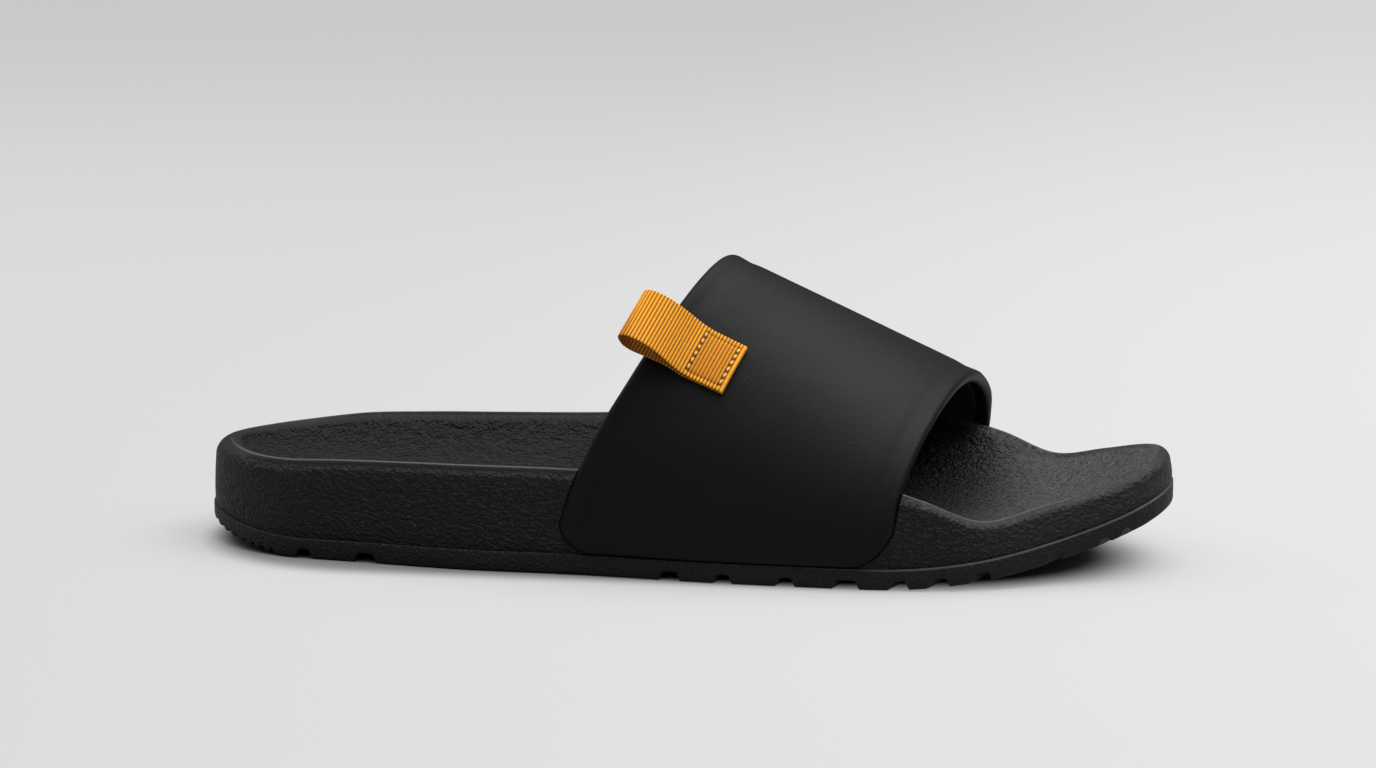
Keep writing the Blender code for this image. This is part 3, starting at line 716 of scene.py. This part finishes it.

# %% [markdown]
# The foam's skin is crumpled like soft leather: folds about two millimetres apart that wander in worms,
# level along the side and fanned round the heel's end, with a finer pebble on top. They are a sine of
# the distance from the fan's middle, bent by noise, and deeper over the footbed. The crest between side
# and footbed is smooth, with a thin bright line painted along it as a highlight; the toe's bead and
# footbed are painted lighter as highlight too, and the crease behind the bead is painted dark as shade.

# %% Foam finish
FAN_X, FAN_Z, ROW_PITCH, ROW_NOISE = -0.085, 0.048, 2.3 * MM, 21
where = foam.place()
x_axis, y_axis, z_axis = foam.axes(where)
inside = foam.axes(foam.stored("surface"))[1]    # past the crest: down the side it is below zero
side_skin = 1 - inside.step(-4.0 * MM, -1.6 * MM)
bed_skin = inside.step(1.6 * MM, 5.0 * MM)
toeward = x_axis.step(0.075, 0.112)
on_crest = (inside.near(0.05 * MM, 0.25 * MM, 0.75 * MM)
            * x_axis.step(-0.138, -0.124) * (1 - x_axis.step(0.100, 0.128) * 0.8))
bead = inside.near(1.2 * MM, 0.8 * MM, 2.6 * MM) * x_axis.step(0.045, 0.065)
# The crease behind the toe's bead is both pressed in by the bump and painted dark as shade.
toe_crease_and_shade = (inside.near(4.6 * MM, 0.1 * MM, 0.8 * MM)
              * x_axis.step(0.03, 0.06) * (1 - y_axis.step(-0.01, 0.02)))
polished = (y_axis.step(-0.035, -0.015)
            * x_axis.between(0.020, 0.045, 0.080, 0.100) * bed_skin)

swell = foam.noise(where, 2.0 * MM, 1.0, 0.5, 1.2)
# 1 where the noise crosses one half, which it does along thin wandering lines
crease = (1 - abs(foam.noise(where, 2.6 * MM, 1.5, 0.45, 1.2) * 2 - 1)) ** 3
fan = ((x_axis - FAN_X).least(0) ** 2 + (FAN_Z - z_axis) ** 2) ** 0.5
worms = ((fan + y_axis * 0.8) * (2 * np.pi / ROW_PITCH)
         + foam.noise(where, 2.9 * MM, 2.0, 0.5, 0.7) * ROW_NOISE).sine() * 0.5 + 0.5
folds = swell * (0.42 * MM) + worms * (0.19 * MM) - crease * (0.10 * MM)
fold_depth = (side_skin * (1.6 - x_axis.step(0.03, 0.08) * 0.25)
              + bed_skin * (3.2 - toeward * 1.2) + 0.15 + bead * 0.9 + polished * 1.2)
patch = foam.noise(where, 22 * MM, 3)
# Painted highlight: the crest's thin line, the toe's bead and footbed, and everything toward the toe are
# painted lighter.
painted_highlight = (bed_skin * toeward * 0.75).most(on_crest).most(bead * 0.42).most(toeward * 0.11)
foam.finish(
    colour=foam.blend(
        toe_crease_and_shade * 0.8,
        foam.blend(painted_highlight, foam.blend(patch, grey(0.0036), grey(0.0058)), grey(0.060)), grey(0.002)),
    roughness=0.44 + crease * 0.14 + patch * 0.10 + bed_skin * (0.20 - toeward * 0.42) - polished * 0.22,
    height=foam.cells(where, 0.7 * MM, 0.6) * (0.10 * MM) + foam.noise(where, 0.3 * MM, 2) * (0.03 * MM)
    + foam.cells(where, 1.15 * MM, 0.5) * bead * (0.40 * MM) + folds * fold_depth
    + foam.noise(where, 4.2 * MM, 1.0, 0.5, 1.0) * bed_skin * (2.2 * MM) - toe_crease_and_shade * (1.3 * MM))

# %% [markdown]
# ## Leather strap
#
# The leather is folded round the two free edges, so they are full rounds, and a seam a few millimetres
# in draws a shallow valley along each, fainter at the crown. The wall is closed all the way round.

# %% Strap surface
FOOT_END_ROUND, WIDTH_CELLS = 1.3 * MM, 60
HALF_TURN = np.radians(np.arange(15, 180, 15))    # angles round a half circle, without its ends


def wall_columns():
    """Columns once round the wall, whose two free edges are half circles."""
    radius = STRAP_WALL / 2
    parts = width_parts(WIDTH_CELLS)
    outer = [(t, radius * (1 - 2 * t), 0) for t in parts]
    front = [(1, radius * (np.sin(a) - 1), radius * (1 - np.cos(a))) for a in HALF_TURN]
    inner = [(t, radius * (1 - 2 * t), STRAP_WALL) for t in parts[::-1]]
    rear = [(0, radius * (1 - np.sin(a)), radius * (1 + np.cos(a))) for a in HALF_TURN]
    return outer + front + inner + rear


band = strap_sheet(strap_places(22, 130), wall_columns(), 0.0, FOOT_END_ROUND)
middle = WIDTH_CELLS + 1 + len(HALF_TURN) // 2    # the foremost column, midway round the front edge

# %% Leather finish
leather = Look("leather", Specular_IOR_Level=0.115)
where = leather.place()
pores = leather.cells(where, 0.45 * MM, 0.6)
hand = leather.noise(where, 24 * MM, 2.5)
leather_finish = leather.finish(
    colour=leather.blend(hand, grey(0.0022), grey(0.0034)), roughness=0.46 + hand * 0.10 + pores * 0.06,
    height=pores * (0.075 * MM) + leather.noise(where, 0.30 * MM, 2) * (0.045 * MM) + hand * (0.50 * MM))
make_piece("strap_leather", [(band, tube_faces(*band.shape[:2], middle))],
           leather_finish, "strap")

# %% [markdown]
# ## Lining
#
# Inside the strap the leather ends a few millimetres from each edge and a knitted lining takes over.
# It is a thin sheet of its own, lying on the wall, so the step between the two shows as a seam.

# %% Lining surface and finish
LINING, LINING_INSET, LINING_GAP = 0.55 * MM, 5.0 * MM, 0.03 * MM
LINING_EDGE, LINING_REACH = 0.22 * MM, 0.97    # how far its edge swells, place where it ends
parts = width_parts(50)


def lining_column(t, edge, depth):
    """Column at share t between the two insets, `edge` past them and `depth` under the wall."""
    return (t, (1 - 2 * t) * (LINING_INSET - edge), STRAP_WALL + LINING_GAP + depth)


lining_columns = ([lining_column(t, 0, 0) for t in parts] + [lining_column(1, LINING_EDGE, LINING / 2)]
                  + [lining_column(t, 0, LINING) for t in parts[::-1]]
                  + [lining_column(0, LINING_EDGE, LINING / 2)])
cloth = strap_sheet(strap_places(8, 100, LINING_REACH), lining_columns)
rows, count = cloth.shape[:2]
over_arch = np.broadcast_to(np.linspace(-1, 1, rows)[:, None] * (90 * MM), (rows, count))
lining_uv = np.stack([over_arch, lengths(cloth - cloth[:, :1])], -1)

knit = Look("lining", Specular_IOR_Level=0.25)
u, v, _ = knit.axes(knit.stored("surface"))
columns = u.wave(0.9 * MM)
stitchwork = columns * v.wave(0.6 * MM) * 0.5 + columns * 0.5
lining_finish = knit.finish(colour=knit.blend(stitchwork * 0.5 + 0.5, grey(0.008), grey(0.022)),
                            roughness=0.8, height=stitchwork * (0.08 * MM))
make_piece("strap_lining", [(cloth, tube_faces(rows, count, len(parts)))], lining_finish, None,
           uvs={"surface": [lining_uv]})

# %% [markdown]
# ## Webbing pull loop
#
# A strip of mustard grosgrain, 16 mm wide, folded into a loop and stitched down with a box of thread.
# Grosgrain has a stout rib across the tape every millimetre. The ribs are real relief: the loop's path is
# sampled eight times per rib, and the face swells between two valleys. The height over the strap is
# solved from the strap's own surface, so the tape hugs the leather where it is sewn down; past that it
# runs out flat, as stiff webbing does, and opens at its rear end.

# %% The loop's own frame
WEBBING_WIDTH, WEBBING_THICKNESS = 16.0 * MM, 0.8 * MM
LOOP_LENGTH, LOOP_OPENING = 32.8 * MM, 9.6 * MM
SEWN_LENGTH, SEWN_BLEND = 12.0 * MM, 10.0 * MM
LOOP_ALONG, LOOP_ARCH, LOOP_TILT = 0.569, -0.430, 0.49
# along the webbing / LOOP_LENGTH, lift of its middle layer / LOOP_OPENING
LOOP_PATH = [
    (0.00, 0.000), (0.20, 0.000), (0.36, 0.000), (0.44, 0.065), (0.54, 0.125), (0.66, 0.115),
    (0.78, 0.080), (0.88, 0.070), (0.95, 0.160), (0.99, 0.380), (1.00, 0.580), (0.98, 0.770),
    (0.92, 0.915), (0.84, 0.955), (0.74, 0.900), (0.64, 0.735), (0.54, 0.500), (0.45, 0.300),
    (0.37, 0.190), (0.29, 0.125), (0.15, 0.110), (0.00, 0.110),
]

at = (np.array(LOOP_ALONG), np.array(LOOP_ARCH))
origin, normal = strap_skin(*at), strap_normal(*at)
level = np.array([normal[1], -normal[0], 0]) / np.hypot(normal[0], normal[1])
along = np.cos(LOOP_TILT) * level + np.sin(LOOP_TILT) * np.cross(level, normal)
sideways = np.cross(along, normal)


def skin_height(a, b):
    """Height of the strap over the loop's plane at (a along, b across), by Newton steps."""
    share, place = LOOP_ALONG - a / LENGTH * 0.9, LOOP_ARCH + b / (2 * BALL_WIDTH)
    tiny = 1e-5

    def miss(share, place):
        offset = strap_skin(share, place) - origin
        return offset @ along - a, offset @ sideways - b

    for _ in range(8):
        here, there, over = miss(share, place), miss(share + tiny, place), miss(share, place + tiny)
        aa, ab = (there[0] - here[0]) / tiny, (over[0] - here[0]) / tiny
        ba, bb = (there[1] - here[1]) / tiny, (over[1] - here[1]) / tiny
        det = aa * bb - ab * ba
        share = share - (here[0] * bb - here[1] * ab) / det
        place = place - (aa * here[1] - ba * here[0]) / det
    return (strap_skin(share, place) - origin) @ normal


def on_loop(a, b, h):
    """Point at a along, b across and h over the strap. Where the tape is sewn down it follows the
    strap across its width, and past that it runs out flat."""
    h = h + skin_height(a, b * (1 - smooth((a - SEWN_LENGTH) / SEWN_BLEND)))
    return origin + a[..., None] * along + b[..., None] * sideways + h[..., None] * normal


# %% Path of the tape
RIB_PITCH, RIB_HEIGHT = 1.04 * MM, 0.30 * MM
TAPE, FRONT_FOLD = 0.62 * MM, 0.5 * MM     # thickness of the tape, reach of its folded front end
STEPS_PER_RIB, PLAIN_REACH = 8, 1.3 * MM    # the fold's own middle has no ribs

knots = np.array([(i,) + p for i, p in enumerate(LOOP_PATH)])
t = np.linspace(0, len(knots) - 1, 4000)
rest = GLUE_LINE + WEBBING_THICKNESS / 2
start = FRONT_FOLD + TAPE / 2
path = np.stack([start + through(knots, 1, t) * (LOOP_LENGTH - start),
                 through(knots, 2, t) * LOOP_OPENING + rest], 1)
turn = np.linspace(-np.pi / 2, np.pi / 2, 60)[1:-1]
fold = (path[0] + path[-1]) / 2 + np.stack(
    [-np.cos(turn) * FRONT_FOLD, -np.sin(turn) * (path[-1, 1] - path[0, 1]) / 2], 1)
path = np.concatenate([path, fold])
path = np.concatenate([path, path[:1]])
length = np.concatenate([[0], np.cumsum(lengths(np.diff(path, axis=0)))])
ribs = int(round(length[-1] / RIB_PITCH))
walk = np.linspace(0, length[-1], ribs * STEPS_PER_RIB + 1)[:-1]
centre = np.stack([np.interp(walk, length, path[:, i]) for i in (0, 1)], 1)
heading = units(np.roll(centre, -2, 0) - np.roll(centre, 2, 0))
outward = np.stack([heading[:, 1], -heading[:, 0]], 1)
front_fold = length[len(t) - 1]
print("tape", round(length[-1] * 1000, 1), "mm round,", ribs, "ribs")

# %% Box of stitches
STITCH_PITCH, STITCH_LENGTH, THREAD = 2.15 * MM, 1.30 * MM, 0.33 * MM
BOX_FRONT, BOX_REAR, BOX_HALF = 1.9 * MM, 12.0 * MM, 6.45 * MM
STITCH_SINK, CROSS_WIDTH, SIDE_WIDTH = 0.20 * MM, 0.55 * MM, 0.5 * MM


def row_pull(distance, width):
    """How strongly a row of thread pulls the tape down at a distance from it."""
    return np.exp(-(distance / width) ** 2)


def stitch_sink(a, b):
    """Depth of the tape below its own face round the box of stitches."""
    inside_along = smooth((a - BOX_FRONT + 1 * MM) / MM) * smooth((BOX_REAR + 1 * MM - a) / MM)
    inside_across = smooth((BOX_HALF + 1 * MM - np.abs(b)) / MM)
    cross = np.maximum(row_pull(a - BOX_FRONT, CROSS_WIDTH), row_pull(a - BOX_REAR, CROSS_WIDTH))
    sides = row_pull(np.abs(b) - BOX_HALF, SIDE_WIDTH)
    return STITCH_SINK * np.maximum(cross * inside_across, sides * inside_along)


# %% Tape surface
FACE_POINTS, EDGE_HALF = 41, TAPE / 2
EDGE_REACH = EDGE_HALF * 0.8                # the woven edge is a little flatter than a half round
FACE_HALF = WEBBING_WIDTH / 2 - EDGE_REACH
OUTER_FACE, INNER_FACE = 1.0, 2.0           # stored instead of a place along the sewn part
face, face_ones = np.linspace(-1, 1, FACE_POINTS) * FACE_HALF, np.ones(FACE_POINTS)
edge, edge_up = FACE_HALF + EDGE_REACH * np.sin(HALF_TURN), np.cos(HALF_TURN)
across_loop = np.concatenate([face, edge, face[::-1], -edge])
lift_loop = np.concatenate([face_ones, edge_up, -face_ones, -edge_up]) * EDGE_HALF
upper = np.concatenate([face_ones, np.clip(edge_up, 0, 1), 0 * face_ones, np.clip(-edge_up, 0, 1)])

phase = walk / length[-1] * ribs
rib = RIB_HEIGHT * (np.abs(np.sin(np.pi * phase)) ** 0.7 - 1)
rib = rib * (1 - np.exp(-((walk - (front_fold + length[-1]) / 2) / PLAIN_REACH) ** 2))
a0, h0 = centre[:, :1], centre[:, 1:]
swell = lift_loop[None, :] + np.sign(lift_loop)[None, :] * rib[:, None]
b = across_loop[None, :] + np.sign(across_loop)[None, :] * 0.6 * rib[:, None] * (
    np.abs(across_loop) > FACE_HALF)
a = a0 + outward[:, :1] * swell
h = h0 + outward[:, 1:] * swell
sewn = (h0 > rest + 0.6 * MM) & (a0 < BOX_REAR + 3 * MM)    # the upper layer, where the box is
h = h - stitch_sink(a, b) * sewn * upper[None, :]
a, b, h = np.broadcast_arrays(a, b, h)
tape = on_loop(a, b, h)
tape_uv = np.stack([np.broadcast_to(phase[:, None] * RIB_PITCH, a.shape), b], -1)
outer = upper[None, :] > 0
sewn_uv = np.stack([np.where(outer, np.where(sewn, a, OUTER_FACE), INNER_FACE), b], -1)

# %% [markdown]
# The tape's colour sits in its ribs: bright along each crest, where the light catches the yarn, and a
# deep orange in the valleys, a painted shade that spreads wider where the tape bends round its rear end
# and faces away from the light. The stitches squeeze the weave, so inside their box the mustard is a
# little deeper, and between two stitches the needle's hole is painted dark as shade, as are the sunken
# rows along the box's sides. The loop's inner face sees no light and is painted brown as shade.

# %% Webbing finish
YARN_PITCH, NEEDLE_PITCH, ROW_HALF, SIDE_ROW_HALF = 0.42 * MM, 1.05 * MM, 0.33 * MM, 0.2 * MM
webbing = Look("webbing", Specular_IOR_Level=0.12)
uv = webbing.stored("surface")
u, v, _ = webbing.axes(uv)
from_end, from_middle, _ = webbing.axes(webbing.stored("sewing"))
from_middle = abs(from_middle)
rib_wave = (u * (np.pi / RIB_PITCH)).sine()
yarn = (v * (2 * np.pi / YARN_PITCH) + rib_wave * 1.5).sine()
rearmost = tape[..., 0].min() + SHIFT[0]
# Painted shade: the rib valleys are painted dark, and near the rear fold, which faces away from the light,
# the dark spreads wider.
fold_shade = 1 - webbing.axes(webbing.place())[0].step(rearmost + 1 * MM, rearmost + 6 * MM)
valley = 1 - (abs(rib_wave) - fold_shade * 0.45).step(0.15, 0.92)
fleck = webbing.noise(uv, 0.5 * MM, 2)
in_box = (from_end.between(BOX_FRONT, BOX_FRONT + 0.4 * MM, BOX_REAR - 0.4 * MM, BOX_REAR)
          * (1 - from_middle.step(BOX_HALF - 0.4 * MM, BOX_HALF)))

cross_rows = (from_end.near(BOX_FRONT, ROW_HALF, 2 * ROW_HALF)
              .most(from_end.near(BOX_REAR, ROW_HALF, 2 * ROW_HALF))
              * (1 - from_middle.step(BOX_HALF, BOX_HALF + 0.3 * MM)))
# Painted shade: the needle holes between stitches, and the sunken side rows below, are painted dark.
holes = (v.wave(STITCH_PITCH) * 0.5 + 0.5) ** 0.7 * cross_rows
side_rows = (from_middle.near(BOX_HALF, SIDE_ROW_HALF, 2 * SIDE_ROW_HALF)
             * (from_end.wave(NEEDLE_PITCH) * 0.35 + 0.65)
             * from_end.between(BOX_FRONT - 0.4 * MM, BOX_FRONT, BOX_REAR, BOX_REAR + 0.4 * MM))
colour = webbing.blend(fleck, (0.73, 0.290, 0.019, 1), (0.93, 0.425, 0.041, 1))
for share, darker in (
        (valley * 0.90, (0.24, 0.068, 0.004, 1)),
        (in_box * 0.42, (0.36, 0.12, 0.008, 1)),
        # painted shade: the loop's inner face is painted dark brown
        (from_end.step(1.4, 1.6) * 0.62, (0.10, 0.014, 0.0005, 1)),    # past OUTER_FACE: the inner face
        (holes.most(side_rows * 0.75), (0.030, 0.008, 0.001, 1))):
    colour = webbing.blend(share, colour, darker)
webbing_finish = webbing.finish(
    colour=colour, roughness=0.66 + valley * 0.15,
    height=yarn * (0.03 * MM) + fleck * (0.04 * MM) - holes * (0.20 * MM))
closed_uv = np.concatenate([tape_uv, tape_uv[:1] + [ribs * RIB_PITCH, 0]])
closed_sewn = np.concatenate([sewn_uv, sewn_uv[:1]])
make_piece("pull_loop_webbing", [plain(np.concatenate([tape, tape[:1]]), wrap=True)],
           webbing_finish, "pull_loop",
           uvs={"surface": [closed_uv], "sewing": [closed_sewn]}, crease=70)

# %% Thread
THREAD_SINK, THREAD_ARCH = 0.26 * MM, 0.20 * MM    # its ends lie in the needle's holes
in_row = int(round(2 * BOX_HALF / STITCH_PITCH))
middles = np.tile(-BOX_HALF + 2 * BOX_HALF * ((np.arange(in_row) + 0.5) / in_row), 2)[:, None, None]
rows_at = np.repeat([BOX_FRONT, BOX_REAR], in_row)[:, None, None]
arc = np.linspace(-1, 1, 9)[:, None]
girth = np.linspace(0, 2 * np.pi, 9)[:-1]
thick = THREAD * np.sqrt(1 - 0.96 * arc**2)    # the thread tapers towards its ends
stitch_a = rows_at - thick * np.cos(girth)
stitch_b = middles + arc * STITCH_LENGTH / 2 + 0 * girth
upper_layer = path[len(t) // 2:len(t)][::-1]
upper_layer = upper_layer[upper_layer[:, 0] < 20 * MM]
top_face = np.interp(stitch_a, upper_layer[:, 0], upper_layer[:, 1]) + TAPE / 2
lift = -THREAD_SINK + THREAD_ARCH * (1 - arc**2)
threads = on_loop(stitch_a, stitch_b, top_face + lift + thick * np.sin(girth))

one_stitch = tube_faces(len(arc), len(girth), 0)
size = len(arc) * len(girth)
thread = Look("thread", Specular_IOR_Level=0.3)
where = thread.place()
thread_finish = thread.finish(
    colour=thread.blend(thread.noise(where, 0.3 * MM, 2), (0.68, 0.40, 0.10, 1), (0.86, 0.57, 0.19, 1)),
    roughness=0.55, height=thread.noise(where, 0.12 * MM, 2) * (0.03 * MM))
thread_faces = [[v + k * size for v in face] for k in range(len(middles)) for face in one_stitch]
make_piece("pull_loop_stitches", [(threads, thread_faces)], thread_finish, None,
           weld=1e-8, crease=80)

# %% [markdown]
# ## Studio
#
# A pale paper that runs out of sight. Black material shows only what it mirrors, so the lights are
# placed for their reflections: a wide softbox overhead and a square one past the toe draw the highlights
# on the crown, the hem and the toe's footbed, a weak one past the heel lights the cup, and the room is
# bright only near the zenith, so the sole's side mirrors a dark horizon. The paper glows a little, a
# painted light that keeps its tone even and the shadow soft, and glows less at the left. Under the sole
# the glow is left out, which paints a shadow there and keeps the grooves unlit.

# %% Floor
FLOOR_REACH = 9.0
GLOW_LEFT, GLOW_RIGHT, GLOW_RUN = 0.79, 1.0, 0.30    # the photograph's paper is darker at the left
# The painted shadow is an oval: a straight run along X from MASK_HEEL to MASK_TOE between two half ovals.
MASK_HEEL, MASK_TOE, HEEL_REACH, TOE_REACH, SIDE_REACH = -0.090, 0.040, 0.050, 0.088, 0.050
floor_mesh = bpy.data.meshes.new("floor")
floor_mesh.from_pydata([(x * FLOOR_REACH, y * FLOOR_REACH, 0)
                        for x, y in ((-1, -1), (1, -1), (1, 1), (-1, 1))], [], [(0, 1, 2, 3)])
floor = put("floor", floor_mesh)
paper = Look("paper", Specular_IOR_Level=0.1, Emission_Strength=0.39)
x_axis, y_axis, _ = paper.axes(paper.place())
# The glow is a painted light; the mask leaves it out under the sole, which paints a shadow there.
beyond = ((x_axis - MASK_TOE) / TOE_REACH).most((MASK_HEEL - x_axis) / HEEL_REACH).most(0)
away = ((beyond ** 2 + (y_axis / SIDE_REACH) ** 2) ** 0.5).step(0.88, 1.14)
fall_off = paper.blend(x_axis.step(-GLOW_RUN, GLOW_RUN), grey(GLOW_LEFT), grey(GLOW_RIGHT))
paper.feed(paper.shader.inputs["Emission Color"], paper.blend(away, grey(0), fall_off))
floor_mesh.materials.append(paper.finish(colour=grey(0.195), roughness=0.9))


# %% Lights
def softbox(name, place, aim, width, depth, watts):
    """A rectangular light of width x depth metres that looks at `aim`."""
    lamp = bpy.data.lights.new(name, "AREA")
    lamp.shape, lamp.size, lamp.size_y, lamp.energy = "RECTANGLE", width, depth, watts
    holder = put(name, lamp)
    holder.location = place
    holder.rotation_euler = (Vector(aim) - Vector(place)).to_track_quat("-Z", "Y").to_euler()


softbox("overhead", (0.25, 0.20, 1.5), (0.05, 0.05, 0.0), 1.4, 1.0, 11.5)
softbox("toe_side", (1.15, 0.55, 1.5), (0.1, 0.05, 0.0), 1.1, 1.1, 14)
softbox("heel_side", (-1.4, 0.5, 1.0), (-0.1, 0.1, 0.0), 1.0, 1.0, 6)


# %% Room light
world = bpy.data.worlds.new("room")
bpy.context.scene.world = world
room = Look(world, "Background")
glow_at = units(np.array([0.12, -0.05, 0.98]))
x, y, z = room.axes(room.node("ShaderNodeTexCoord", {}, "Generated"))
facing = (x * glow_at[0] + y * glow_at[1] + z * glow_at[2]).most(0)
room.feed(room.shader.inputs["Color"], grey(1.0))
room.feed(room.shader.inputs["Strength"], facing ** 3.6 * 3.6 + 0.06)
bpy.context.scene.view_settings.view_transform = "Standard"
